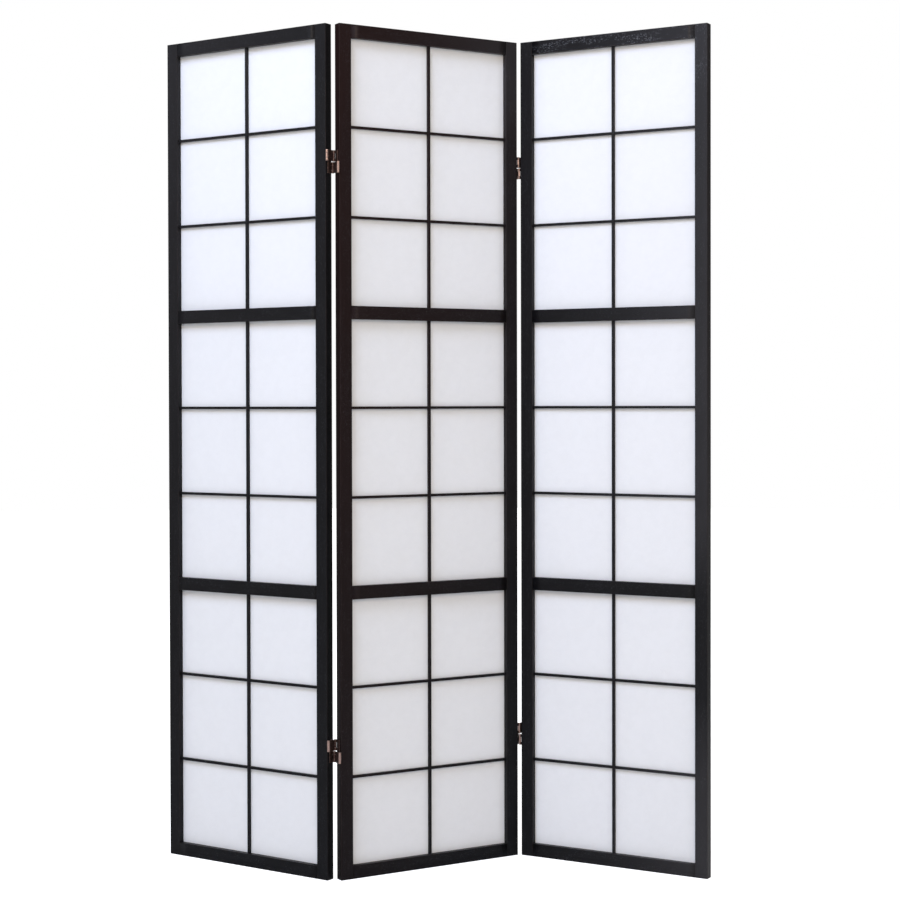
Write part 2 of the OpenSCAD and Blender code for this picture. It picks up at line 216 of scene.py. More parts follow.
@dataclass(frozen=True)
class Lacquer:
    """Black satin lacquer brushed over open-pored timber.

    Reads the grain and wear attributes, the wear also lighting the arrises as painted highlight, and the
    tone attribute: how much painted warm light browns the lacquer, how many light specks its pores show,
    partly dust and partly painted glints, and how much painted sheen lies on its face.
    """

    name: str
    black: Colour = (0.0042, 0.0042, 0.0050)
    streak: Colour = (0.0095, 0.0090, 0.0102)
    warm_light_brown: Colour = (0.0190, 0.0075, 0.0064)
    painted_sheen: Colour = (0.036, 0.034, 0.036)
    worn_and_highlight: Colour = (0.040, 0.028, 0.024)
    dust_and_glint: Colour = (0.210, 0.215, 0.235)
    roughness: float = 0.40
    pore_depth: float = 0.00014

    def material(self) -> Material:
        """Write the lacquer's material."""
        s = Shader(self.name)
        grain = s.attribute(GRAIN)
        wear = s.attribute(WEAR_AND_HIGHLIGHT, "Fac")
        warm_light_amount, dust_and_glint_amount, sheen_amount = s.parts(s.attribute(TONE_AND_LIGHT))
        figure = s.noise(grain, (260, 260, 9), 4.0, 0.55, 0.6)
        streak = s.noise(grain, (1100, 1100, 26), 3.0, 0.6)
        pores = s.noise(grain, (1900, 1900, 130), 2.0, 0.5).step(0.60, 0.70)
        peel = s.noise(grain, (420, 420, 420), 2.0)
        cloud = s.noise(grain, (14, 14, 5), 2.0)
        show = (figure.step(0.46, 0.68) * 0.55 + streak.step(0.50, 0.72) * 0.45) * (0.4 + 0.6 * cloud)
        # Eased arrises take the lighter worn colour: partly real wear, partly a painted highlight along the
        # arris.
        worn_and_lit = wear * (0.3 + 0.7 * s.noise(grain, (90, 90, 34), 3.0).step(0.47, 0.70))
        # Light specks in the pores: partly dust, partly painted glints where light grazes them.
        flecks = s.noise(grain, (800, 800, 260), 3.0, 0.7).step(0.57, 0.66)
        dust_and_glint_specks = flecks * dust_and_glint_amount * s.noise(grain, (60, 60, 16), 2.0).step(0.36, 0.56)
        # Painted warm light: a brown tint, strongest on the middle panel's upper left.
        base = s.mix(warm_light_amount * (0.65 + 0.35 * cloud), s.mix(show, self.black, self.streak), self.warm_light_brown)
        # Painted sheen: a lighter grey over parts of the panels, standing for the studio's reflection in the
        # lacquer.
        base = s.mix(sheen_amount * (0.75 + 0.5 * cloud), base, self.painted_sheen)
        base = s.mix(dust_and_glint_specks, s.mix(worn_and_lit * 0.75, base, self.worn_and_highlight), self.dust_and_glint)
        rough = self.roughness + 0.14 * (cloud - 0.5) + 0.10 * show + 0.22 * pores + 0.12 * worn_and_lit
        height = 0.14 * peel + 0.35 * streak - 0.75 * pores
        s.bump(height, self.pore_depth, 0.8)
        return s.finish(
            Base_Color=base, Roughness=rough, Specular_IOR_Level=0.12, Coat_Weight=0.03, Coat_Roughness=0.22
        )


@dataclass(frozen=True)
class RicePaper:
    """White paper with long fibres, with painted shadow of the bars that it is glued to on its back. Reads the
    sheet's own place.
    """

    name: str
    upright_x: float
    bar_w: float
    bar_pitch: float
    back_y: float
    fresh: Colour = (0.892, 0.890, 0.892)
    shade: Colour = (0.858, 0.856, 0.858)
    fibre: Colour = (0.955, 0.950, 0.940)
    painted_bar_shadow: Colour = (0.40, 0.40, 0.40)

    def material(self) -> Material:
        """Write the paper's material."""
        s = Shader(self.name)
        place = s.attribute(SHEET_PLACE)
        x, y, z = s.parts(place)
        mottle = s.noise(place, 55.0, 4.0, 0.6, 0.4)
        pulp = s.noise(place, 420.0, 3.0, 0.6)
        wander = s.noise(place, 70.0, 2.0, 0.5, 1.6)
        second = s.noise(place, (66.5, 95.0, 142.5), 2.0, 0.5, 2.2)
        strand = (abs(wander - 0.5)).step(0.010, 0.0) * mottle.step(0.42, 0.60)
        hair = (abs(second - 0.52)).step(0.008, 0.0) * mottle.step(0.60, 0.44)
        fibres = (strand + hair * 0.8).math("MINIMUM", 1.0)
        # Painted shadow on the back of the sheet: grey bands where the bars lie, as if seen through the paper.
        half = self.bar_w / 2
        row = (z * (1 / self.bar_pitch)).math("FRACT") - 0.5
        across = abs(x - self.upright_x).step(half + 0.0012, half - 0.0006)
        along = (abs(row) * self.bar_pitch - (self.bar_pitch / 2 - half)).step(-0.0012, 0.0006)
        bar_shadow_mask = across.math("MAXIMUM", along) * y.step(self.back_y, self.back_y + 0.0001)
        plain = s.mix(0.55 * mottle.step(0.3, 0.7) + 0.45 * pulp, self.fresh, self.shade)
        base = s.mix(bar_shadow_mask, s.mix(fibres * 0.6, plain, self.fibre), self.painted_bar_shadow)
        s.bump(0.5 * pulp + 0.3 * mottle + 0.45 * fibres, 0.00012, 0.9)
        return s.finish(
            Base_Color=base, Roughness=0.93 - 0.12 * fibres, Specular_IOR_Level=0.25, Sheen_Weight=0.12,
            Sheen_Roughness=0.6,
        )


@dataclass(frozen=True)
class AntiqueBronze:
    """Plated steel darkened with age, rubbed back to copper on its edges; the copper on the front knuckles is
    partly painted highlight.
    """

    name: str
    dark: Colour = (0.060, 0.034, 0.030)
    copper: Colour = (0.62, 0.43, 0.365)
    roughness: float = 0.26

    def material(self) -> Material:
        """Write the metal's material."""
        s = Shader(self.name)
        place = s.object_place()
        wear = s.attribute(WEAR_AND_HIGHLIGHT, "Fac")
        patch = s.noise(place, 260.0, 4.0, 0.6, 0.5)
        brushed = s.noise(place, (900, 900, 5200), 2.0)
        # Copper where worn, and on the front knuckles also as painted highlight.
        worn_and_lit = (wear * 0.8 + patch.step(0.46, 0.70) * 0.14).math("MINIMUM", 1.0)
        base = s.mix(worn_and_lit, self.dark, self.copper)
        rough = self.roughness + 0.22 * (1 - worn_and_lit) + 0.10 * (brushed - 0.5)
        s.bump(0.4 * brushed + 0.6 * patch, 0.00004, 0.6)
        return s.finish(Base_Color=base, Roughness=rough, Metallic=0.92)


@dataclass(frozen=True)
class PlainStage:
    """Matt pale floor that glows a little, and more with its distance, so that it runs into the backdrop."""

    name: str
    colour: Colour = (0.66, 0.66, 0.66)
    near: Colour = (0.82, 0.82, 0.82)
    far: Colour = WHITE
    bounced: Colour = (0.03, 0.03, 0.03)

    def material(self) -> Material:
        """Write the floor's material."""
        s = Shader(self.name)
        away = s.add("ShaderNodeVectorMath", "Value", {"operation": "LENGTH"}, Vector=s.object_place())
        seen = s.add("ShaderNodeLightPath", "Is Camera Ray")
        glow = s.mix(seen, self.bounced, s.mix(away.step(1.0, 3.5), self.near, self.far))
        return s.finish(
            Base_Color=self.colour, Roughness=0.9, Specular_IOR_Level=0.1, Emission_Strength=1.0,
            Emission_Color=glow,
        )


# ---- mesh writing ----


def new_object(name: str, mesh: Mesh) -> Object:
    """Link a new object of that mesh to the scene."""
    made = bpy.data.objects.new(name, mesh)
    bpy.context.scene.collection.objects.link(made)
    return made


def from_bmesh(name: str, shape: BMesh) -> Object:
    """Turn a bmesh into an object, and free it."""
    mesh = bpy.data.meshes.new(name)
    shape.to_mesh(mesh)
    shape.free()
    return new_object(name, mesh)


def discard(made: Object) -> None:
    """Delete an object that was only a tool."""
    mesh = made.data
    bpy.data.objects.remove(made)
    if mesh.users == 0:
        bpy.data.meshes.remove(mesh)


def applied(made: Object) -> Object:
    """Replace an object's mesh by its evaluated one, and drop its modifiers."""
    bpy.context.view_layer.update()
    seen = made.evaluated_get(bpy.context.evaluated_depsgraph_get())
    mesh = bpy.data.meshes.new_from_object(seen)
    mesh.name = made.name
    old = made.data
    made.modifiers.clear()
    made.data = mesh
    if old.users == 0:
        bpy.data.meshes.remove(old)
    return made


def add_box(shape: BMesh, low: Vertex, high: Vertex) -> None:
    """Add a closed box between two corners."""
    size = Vector(high) - Vector(low)
    middle = (Vector(high) + Vector(low)) / 2
    bmesh.ops.create_cube(shape, size=1.0, matrix=Matrix.Translation(middle) @ Matrix.Diagonal((*size, 1.0)))


def boxes(name: str, corners: Iterable[tuple[Vertex, Vertex]]) -> Object:
    """Object made of separate boxes, each between two corners."""
    shape = bmesh.new()
    for low, high in corners:
        add_box(shape, low, high)
    return from_bmesh(name, shape)


def eased(
    made: Object, radius: float, segments: int = 3, angle: float = 30.0, along: Point | None = None
) -> Object:
    """Ease an object's sharp edges and shade it smooth across the easing.

    Args:
        made: the object.
        radius: the easing's radius.
        segments: faces across the easing.
        angle: edges sharper than this are eased.
        along: only edges along this axis are eased, if given.

    Returns:
        The object.
    """
    mesh = made.data
    for face in mesh.polygons:
        face.use_smooth = True
    ease = made.modifiers.new("ease", "BEVEL")
    ease.width = radius
    ease.segments = segments
    ease.limit_method = "ANGLE"
    ease.angle_limit = math.radians(angle)
    if along is not None:
        ease.limit_method = "WEIGHT"
        weights = mesh.attributes.new("bevel_weight_edge", "FLOAT", "EDGE")
        for edge, weight in zip(mesh.edges, weights.data):
            start, end = (mesh.vertices[v].co for v in edge.vertices)
            weight.value = float(abs((end - start).normalized().dot(Vector(along))) > 0.9)
    ease.harden_normals = True
    ease.use_clamp_overlap = True
    return applied(made)


def cut(made: Object, tool: Object) -> Object:
    """Cut one object by another, which is then deleted."""
    bite = made.modifiers.new("cut", "BOOLEAN")
    bite.operation = "DIFFERENCE"
    bite.solver = "EXACT"
    bite.object = tool
    applied(made)
    discard(tool)
    return made


def sliced(made: Object, reach: Point, count: int) -> Object:
    """Cut a piece's faces into lengths, so that values can change along it.

    Args:
        made: the piece, which runs from about the origin.
        reach: its far end, seen from the origin.
        count: how many lengths.

    Returns:
        The piece.
    """
    shape = bmesh.new()
    shape.from_mesh(made.data)
    for k in range(1, count):
        parts = [*shape.verts, *shape.edges, *shape.faces]
        bmesh.ops.bisect_plane(shape, geom=parts, plane_co=Vector(reach) * (k / count), plane_no=reach)
    shape.to_mesh(made.data)
    shape.free()
    return made


def prism(shape: BMesh, outline: Outline, low: float, high: float) -> None:
    """Add a closed prism: an anticlockwise outline in X and Y, from low to high in Z."""
    feet = [shape.verts.new((x, y, low)) for x, y in outline]
    tops = [shape.verts.new((x, y, high)) for x, y in outline]
    count = len(outline)
    shape.faces.new(list(reversed(feet)))
    shape.faces.new(tops)
    for i in range(count):
        j = (i + 1) % count
        shape.faces.new((feet[i], feet[j], tops[j], tops[i]))


def lathe(shape: BMesh, profile: Outline, sides: int, at: Vertex = (0.0, 0.0, 0.0)) -> None:
    """Add a solid of revolution about an upright axis.

    Args:
        shape: takes the solid.
        profile: (radius, height) points that start and end on the axis.
        sides: faces round the axis.
        at: the axis's foot.
    """
    def ring(radius: float, height: float, count: int) -> list[BMVert]:
        """Vertices round the axis."""
        turns = [math.tau * k / count for k in range(count)]
        spots = [Vector((radius * math.cos(turn), radius * math.sin(turn), height)) for turn in turns]
        return [shape.verts.new(Vector(at) + spot) for spot in spots]

    (foot,), *rings, (top,) = [ring(r, z, sides if r else 1) for r, z in profile]
    for k in range(sides):
        n = (k + 1) % sides
        shape.faces.new((foot, rings[0][n], rings[0][k]))
        for lower, upper in zip(rings, rings[1:]):
            shape.faces.new((lower[k], lower[n], upper[n], upper[k]))
        shape.faces.new((rings[-1][k], rings[-1][n], top))


def ribbon(points: Outline, widths: Sequence[float]) -> list[tuple[float, float]]:
    """Outline of a strip that follows points in a plane with a width at each."""
    left, right = [], []
    for i, (x, y) in enumerate(points):
        ax, ay = points[max(i - 1, 0)]
        bx, by = points[min(i + 1, len(points) - 1)]
        length = math.hypot(bx - ax, by - ay)
        nx, ny = -(by - ay) / length, (bx - ax) / length
        left.append((x + nx * widths[i] / 2, y + ny * widths[i] / 2))
        right.append((x - nx * widths[i] / 2, y - ny * widths[i] / 2))
    return right + list(reversed(left))


def set_points(made: Object, name: str, rule: Callable[[Vector], Vertex]) -> None:
    """Store a vector at every vertex, worked out from its place."""
    values = made.data.attributes.new(name, "FLOAT_VECTOR", "POINT")
    for vertex, value in zip(made.data.vertices, values.data):
        value.vector = rule(vertex.co)


def smooth(low: float, high: float, value: float) -> float:
    """Smooth step from 0 at low to 1 at high."""
    share = min(1.0, max(0.0, (value - low) / (high - low)))
    return share * share * (3 - 2 * share)


def mark_wear_and_highlight(made: Object, width: float, worn_and_lit: Callable[[Vector], float] | None = None) -> None:
    """Mark the vertices that lie only on narrow faces, which are the eased edges, as worn; the lacquer also
    lights them as painted highlight.

    Args:
        made: the object, already eased.
        width: a face counts as narrow if one of its edges is shorter than this.
        worn_and_lit: least wear and painted highlight at a vertex's place, if given.
    """
    mesh = made.data
    broad: set[int] = set()
    for face in mesh.polygons:
        ends = list(face.edge_keys)
        shortest = min((mesh.vertices[a].co - mesh.vertices[b].co).length for a, b in ends)
        if shortest > width:
            broad.update(face.vertices)
    values = mesh.attributes.new(WEAR_AND_HIGHLIGHT, "FLOAT", "POINT")
    for vertex in mesh.vertices:
        least = worn_and_lit(vertex.co) if worn_and_lit else 0.0
        values.data[vertex.index].value = max(least, 0.0 if vertex.index in broad else 1.0)


def dress(made: Object, material: Material) -> Object:
    """Give an object one material."""
    made.data.materials.clear()
    made.data.materials.append(material)
    return made


def placed(made: Object, matrix: Matrix) -> Object:
    """Move an object's mesh, and leave the object at the origin."""
    made.data.transform(matrix)
    made.data.update()
    return made


def settle(made: Object, slot: str, body: str, *nodes: str) -> None:
    """Let a piece ride on a body, and stand it in for CAD nodes.

    Args:
        made: the piece.
        slot: not used.
        body: the body that it rides on.
        nodes: the CAD nodes that it replaces, if any.
    """
    if nodes:
        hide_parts(*nodes)
    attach(made, body)
    LOG.info("%s: %d faces", made.name, len(made.data.polygons))


# ---- geometry nodes ----


class Grower(Writer):
    """A Geometry Nodes tree being written, with named inputs."""

    def __init__(self, name: str, **inputs: str) -> None:
        """Start a tree.

        Args:
            name: the tree's name.
            inputs: socket kinds by input name, with spaces as underscores.
        """
        super().__init__(bpy.data.node_groups.new(name, "GeometryNodeTree"))
        sockets = [("Geometry", "INPUT", "Geometry"), *((key, "INPUT", kind) for key, kind in inputs.items())]
        for key, way, kind in (*sockets, ("Material", "INPUT", "Material"), ("Geometry", "OUTPUT", "Geometry")):
            self.tree.interface.new_socket(
                name=key.replace("_", " "), in_out=way, socket_type=f"NodeSocket{kind}"
            )
        self.source = self.node("NodeGroupInput")

    def given(self, name: str) -> Sock:
        """The value of a named input."""
        return Sock(self, self.source.outputs[name])

    def chance(self, low: Sock | float, high: Sock | float) -> Sock:
        """A random number for each point, drawn with the input Seed."""
        seed = self.given("Seed")
        return self.add("FunctionNodeRandomValue", 1, {"data_type": "FLOAT"}, {2: low, 3: high}, Seed=seed)

    def line(self, count: Sock, pitch: Sock) -> Sock:
        """Points in an upright row from the origin."""
        offset = self.add("ShaderNodeCombineXYZ", Z=pitch)
        return self.add("GeometryNodeMeshLine", 0, {"mode": "OFFSET"}, Count=count, Offset=offset)

    def openings(self) -> Sock:
        """One point for each opening of a panel."""
        return self.line(self.given("Openings"), self.given("Opening Pitch"))

    def repeat(self, points: Sock, piece: Sock | str, **more: object) -> Sock:
        """Instances of a piece, or of the object input of that name, on points."""
        if isinstance(piece, str):
            piece = self.add("GeometryNodeObjectInfo", "Geometry", Object=self.given(piece))
        return self.add("GeometryNodeInstanceOnPoints", Points=points, Instance=piece, **more)

    def end(self, geometry: Sock) -> Grower:
        """Finish the tree with Realize Instances and Set Material."""
        real = self.add("GeometryNodeRealizeInstances", Geometry=geometry)
        dressed = self.add("GeometryNodeSetMaterial", Geometry=real, Material=self.given("Material"))
        self.node("NodeGroupOutput", Geometry=dressed)
        return self

    def grow(self, name: str, base: Mesh | None = None, **values: object) -> Object:
        """Run the tree on an object and keep the result as a plain mesh.

        Args:
            name: the new object's name.
            base: the mesh that the tree starts from.
            values: input values, by input name with spaces as underscores.

        Returns:
            The new object.
        """
        made = new_object(name, base or bpy.data.meshes.new(name))
        grown = made.modifiers.new("grow", "NODES")
        grown.node_group = self.tree
        for item in self.tree.interface.items_tree:
            key = item.name.replace(" ", "_")
            if item.in_out == "INPUT" and key in values:
                grown[item.identifier] = values[key]
        return applied(made)


def bar_rows() -> Grower:
    """Tree that repeats a lattice bar up the openings, each opening's bars nudged a little sideways."""
    g = Grower(
        "bar_rows", Bar="Object", Openings="Int", Opening_Pitch="Float", Bars="Int", Bar_Pitch="Float",
        Nudge="Float", Seed="Int",
    )
    stack = g.repeat(g.line(g.given("Bars"), g.given("Bar Pitch")), "Bar")
    nudge = g.given("Nudge")
    sideways = g.add("ShaderNodeCombineXYZ", X=g.chance(nudge * -1.0, nudge))
    rows = g.add("GeometryNodeSetPosition", Geometry=g.openings(), Offset=sideways)
    return g.end(g.repeat(rows, stack))


def brad_rings() -> Grower:
    """Tree that sets brads round a rectangle in X and Z, and repeats it up the openings."""
    g = Grower(
        "brad_rings", Brad="Object", Width="Float", Height="Float", Brads="Int", Openings="Int",
        Opening_Pitch="Float",
    )
    ring = g.add("GeometryNodeCurvePrimitiveQuadrilateral", Width=g.given("Width"), Height=g.given("Height"))
    stood = g.add("GeometryNodeTransform", Geometry=ring, Rotation=(math.pi / 2, 0.0, 0.0))
    marks = g.add("GeometryNodeCurveToPoints", "Points", {"mode": "COUNT"}, Curve=stood, Count=g.given("Brads"))
    return g.end(g.repeat(g.openings(), g.repeat(marks, "Brad")))


def aimed_set() -> Grower:
    """Tree that puts a screw on every vertex of its base, its head towards the vertex's aim."""
    g = Grower("aimed_set", Screw="Object", Seed="Int")
    aim = g.add("GeometryNodeInputNamedAttribute", "Attribute", {"data_type": "FLOAT_VECTOR"}, Name=AIM)
    turn = g.add("FunctionNodeAlignRotationToVector", 0, {"axis": "Z"}, Vector=aim)
    spin = g.add("FunctionNodeAxisAngleToRotation", Angle=g.chance(0.0, math.pi), Axis=(0.0, 0.0, 1.0))
    both = g.add("FunctionNodeRotateRotation", 0, {"rotation_space": "LOCAL"}, {0: turn, 1: spin})
    return g.end(g.repeat(g.given("Geometry"), "Screw", Rotation=both))


# ---- the panels ----


class Side(Enum):
    """The three panels, by the body that each rides on."""

    LEFT = "left_panel"
    MIDDLE = "middle_panel"
    RIGHT = "right_panel"


class Member(Enum):
    """The rails of a panel, counted from the floor."""

    BOTTOM = 0
    LOWER = 1
    UPPER = 2
    TOP = 3

    @property
    def label(self) -> str:
        """Name of the rail's node and piece."""
        return f"{self.name.lower()}_rail"


@dataclass
class PanelSizes:
    """Driving sizes of a panel, in metres. Height and width come from the frame."""

    height: float
    width: float
    thickness: float = 20 * MM
    stile_w: float = 28 * MM
    rail_h: float = 28 * MM
    arris: float = 0.8 * MM
    bar_w: float = 5.5 * MM
    bar_set_back: float = 6 * MM
    bar_d: float = 6.5 * MM
    bars: int = 2
    openings: int = 3
    rebate_w: float = 6 * MM
    bead_set_back: float = 0.5 * MM
    paper_fit: float = 0.5 * MM
    paper_t: float = 0.3 * MM
    paper_cells: tuple[int, int] = (78, 112)
    sag: float = 0.32 * MM
    ripple: float = 0.10 * MM
    stile_lengths: int = 24
    rail_lengths: int = 9
    bar_arris: float = 0.35 * MM
    upright_nudge: float = 0.3 * MM
    lap_gap: float = 0.4 * MM
    bead_fit: float = 0.1 * MM
    brads: int = 26
    brad_r: float = 0.8 * MM

    @property
    def opening_w(self) -> float:
        """Clear width between the stiles."""
        return self.width - 2 * self.stile_w

    @property
    def opening_h(self) -> float:
        """Clear height between two rails."""
        return (self.height - (self.openings + 1) * self.rail_h) / self.openings

    @property
    def pitch(self) -> float:
        """Height from one opening's foot to the next one's."""
        return self.opening_h + self.rail_h

    @property
    def bar_pitch(self) -> float:
        """Height from one cross bar to the next."""
        return (self.opening_h + self.bar_w) / (self.bars + 1)

    @property
    def bar_back(self) -> float:
        """Depth of the bars' backs, where the paper lies."""
        return self.bar_set_back + self.bar_d


@dataclass
class Trees:
    """The Geometry Nodes trees that all panels share."""

    bars: Grower = field(default_factory=bar_rows)
    brads: Grower = field(default_factory=brad_rings)
    screws: Grower = field(default_factory=aimed_set)


@dataclass
class Finishes:
    """The materials that the pieces wear."""

    frame: Material
    lattice: Material
    paper: Material
    bronze: Material
    steel: Material


@dataclass
class Panel:
    """One papered lattice panel."""

    side: Side
    sizes: PanelSizes
    place: Matrix
    finishes: Finishes
    trees: Trees
    seed: int
    gap: float = 0.15 * MM

    @property
    def name(self) -> str:
        """The panel's name, which starts its nodes' names."""
        return self.side.value

    def grain(self, made: Object, upright: bool, number: int) -> None:
        """Store the timber's own coordinates, the last along its grain, shifted for each member."""
        chance = random.Random(self.seed * 100 + number)
        shift = Vector((chance.random(), chance.random(), chance.random())) * 3
        set_points(made, GRAIN, lambda v: shift + (v if upright else Vector((v.z, v.y, v.x))))

    def painted_sheen_at(self, u: float, v: float) -> float:
        """How much painted sheen the lacquer gets at a share of the panel's width and height."""
        if self.side is Side.LEFT:
            return 0.4 * v * v * (1 - 0.6 * u)
        if self.side is Side.MIDDLE:
            return u * u * (0.15 * v + 0.45 * smooth(0.86, 0.96, v))
        dip = smooth(0.12, 0.22, v) * (1 - smooth(0.32, 0.42, v))
        return u * u * (0.95 - 0.2 * smooth(0.05, 0.15, v) - 0.65 * dip)

    def tone(self, made: Object, dust_and_glint: float) -> None:
        """Store the lacquer's painted warm light (brown), its light pore specks (dust and painted glints) and its
        painted sheen. The middle panel's upper left gets the most painted warm light.
        """
        p = self.sizes
        most = 0.95 if self.side is Side.MIDDLE else 0.08
        dust_and_glint_top = 0.55 if self.side is Side.RIGHT else 0.0

        def rule(v: Vector) -> Vertex:
            """Tone and painted light of a vertex."""
            u, w = min(1.0, max(0.0, v.x / p.width)), min(1.0, max(0.0, v.z / p.height))
            # Brown is painted warm light, the second value is dust mixed with painted glints, the third is
            # painted sheen.
            warm_light_brown = most * min(1.0, max(0.0, 0.35 + 0.75 * w - 0.55 * u))
            return (warm_light_brown, max(dust_and_glint, dust_and_glint_top * smooth(0.90, 0.97, w) * u), self.painted_sheen_at(u, w))

        set_points(made, TONE_AND_LIGHT, rule)

    def timber(
        self, made: Object, upright: bool, number: int, slot: str, node: str, dust_and_glint: float = 0.1
    ) -> None:
        """Give an eased member its grain, its tone and painted light, its wear and painted arris highlight, and
        its lacquer, and put it in its place.
        """
        mark_wear_and_highlight(made, self.sizes.arris)
        self.grain(made, upright, number)
        self.tone(made, dust_and_glint)
        finish = self.finishes.frame if slot == "frame_lacquer" else self.finishes.lattice
        settle(placed(dress(made, finish), self.place), slot, self.name, f"{self.name}_{node}")

    def member(
        self, label: str, ends: tuple[Vertex, Vertex], rebates: Iterable[tuple[Vertex, Vertex]], number: int,
        dust_and_glint: float = 0.1,
    ) -> None:
        """Make one member of the frame.

        Args:
            label: name of its node.
            ends: its two corners.
            rebates: the corners of what is cut from it.
            number: chooses its grain.
            dust_and_glint: how many light specks its pores show, partly dust and partly painted glints.
        """
        p = self.sizes
        made = cut(boxes(f"{self.name}_{label}_lacquered", [ends]), boxes("tool", rebates))
        upright = label.endswith("stile")
        if upright:
            eased(sliced(made, (0, 0, p.height), p.stile_lengths), p.arris)
        else:
            eased(sliced(made, (p.width, 0, 0), p.rail_lengths), p.arris, along=(1, 0, 0))
        self.timber(made, upright, number, "frame_lacquer", label, dust_and_glint)

    def stiles(self) -> None:
        """Both stiles, rebated behind beside each opening."""
        p = self.sizes
        feet = [p.rail_h + k * p.pitch for k in range(p.openings)]
        for number, (label, low, inner) in enumerate(
            (("left_stile", 0.0, p.stile_w), ("right_stile", p.width - p.stile_w, p.width - p.stile_w))
        ):
            rebates = [
                (
                    (inner - p.rebate_w, p.bar_back, foot - p.rebate_w),
                    (inner + p.rebate_w, 2 * p.thickness, foot + p.opening_h + p.rebate_w),
                )
                for foot in feet
            ]
            self.member(label, ((low, 0, 0), (low + p.stile_w, p.thickness, p.height)), rebates, number)

    def rails(self) -> None:
        """The four rails, rebated behind along the edges that meet an opening."""
        p = self.sizes
        for rail in Member:
            foot = rail.value * p.pitch
            top = foot + p.rail_h
            ends = (
                (p.stile_w + self.gap / 2, 0.0, foot), (p.width - p.stile_w - self.gap / 2, p.thickness, top)
            )
            arrises = [z for z, none in ((foot, Member.BOTTOM), (top, Member.TOP)) if rail is not none]
            rebates = [
                ((0, p.bar_back, z - p.rebate_w), (p.width, 2 * p.thickness, z + p.rebate_w)) for z in arrises
            ]
            # The right panel's top rail has the most light pore specks: partly dust, partly painted glints.
            dust_and_glint = 1.0 if rail is Member.TOP and self.side is Side.RIGHT else 0.12
            self.member(rail.label, ends, rebates, 10 + rail.value, dust_and_glint)

    def lattice(self) -> None:
        """Upright bars, and cross bars that stop either side of them at the half-laps."""
        p = self.sizes
        middle = p.width / 2
        front, back = p.bar_set_back, p.bar_back
        ends = ((middle - p.bar_w / 2, front, p.rail_h), (middle + p.bar_w / 2, back, p.pitch))
        upright = eased(boxes("upright", [ends]), p.bar_arris)
        row = p.rail_h + p.bar_pitch - p.bar_w
        reach = p.bar_w / 2 + p.lap_gap
        halves = [
            ((p.stile_w, front + 0.05 * MM, row), (middle - reach, back, row + p.bar_w)),
            ((middle + reach, front + 0.05 * MM, row), (p.width - p.stile_w, back, row + p.bar_w)),
        ]
        cross = eased(boxes("cross", halves), p.bar_arris)
        for label, bar, count, nudge, number in (
            ("upright_bars", upright, 1, p.upright_nudge, 20),
            ("cross_bars", cross, p.bars, 0.0, 21),
        ):
            made = self.trees.bars.grow(
                f"{self.name}_{label}_lacquered", Bar=bar, Openings=p.openings, Opening_Pitch=p.pitch, Bars=count,
                Bar_Pitch=p.bar_pitch, Nudge=nudge, Seed=self.seed, Material=self.finishes.lattice,
            )
            self.timber(made, bar is upright, number, "lattice_lacquer", label)
            discard(bar)

    def papers(self) -> None:
        """Three sheets of paper, drawn tight over the bars and puckered a little between them."""
        p = self.sizes
        inset = p.rebate_w - p.paper_fit
        left, right = p.stile_w - inset, p.width - p.stile_w + inset
        across, up = p.paper_cells
        for k, word in enumerate(("lower", "middle", "upper")):
            foot = p.rail_h + k * p.pitch - inset
            top = foot + p.opening_h + 2 * inset
            shape = bmesh.new()
            columns = [left + (right - left) * i / across for i in range(across + 1)]
            rows = [foot + (top - foot) * j / up for j in range(up + 1)]
            grid = [[shape.verts.new(self.pucker(x, z, k)) for x in columns] for z in rows]
            for j in range(up):
                for i in range(across):
                    shape.faces.new((grid[j][i], grid[j][i + 1], grid[j + 1][i + 1], grid[j + 1][i]))
            made = from_bmesh(f"{self.name}_{word}_paper_sheet", shape)
            for face in made.data.polygons:
                face.use_smooth = True
            body = made.modifiers.new("body", "SOLIDIFY")
            body.thickness = p.paper_t
            body.offset = -1.0
            applied(made)
            start = Vector((0.0, 0.0, p.rail_h + k * p.pitch - p.bar_w / 2))
            set_points(made, SHEET_PLACE, lambda v, start=start: v - start)
            placed(dress(made, self.finishes.paper), self.place)
            settle(made, "rice_paper", self.name, f"{self.name}_paper")
            top - foot

    def pucker(self, x: float, z: float, k: int) -> Point:
        """Place of a point of sheet k. It touches the bars and sinks away between them."""
        p = self.sizes
        half = p.opening_w / 2
        u = ((x - p.stile_w) % half) / half
        v = ((z - p.rail_h - k * p.pitch) % p.bar_pitch) / p.bar_pitch
        inside = p.stile_w < x < p.width - p.stile_w and 0 < z - p.rail_h - k * p.pitch < p.opening_h
        if not inside:
            return (x, p.bar_back, z)
        free = min(1.0, 4.2 * u * (1 - u)) * min(1.0, 4.2 * v * (1 - v))
        wave = noise.noise(Vector((x * 26 + self.seed * 7.1, z * 9 + k * 3.3, self.seed)))
        fine = noise.noise(Vector((x * 70, z * 55 + k * 5.1, self.seed + 4.0)))
        sag = p.sag * (1 + 0.8 * wave) + p.ripple * fine
        return (x, p.bar_back + max(0.0, free * sag), z)

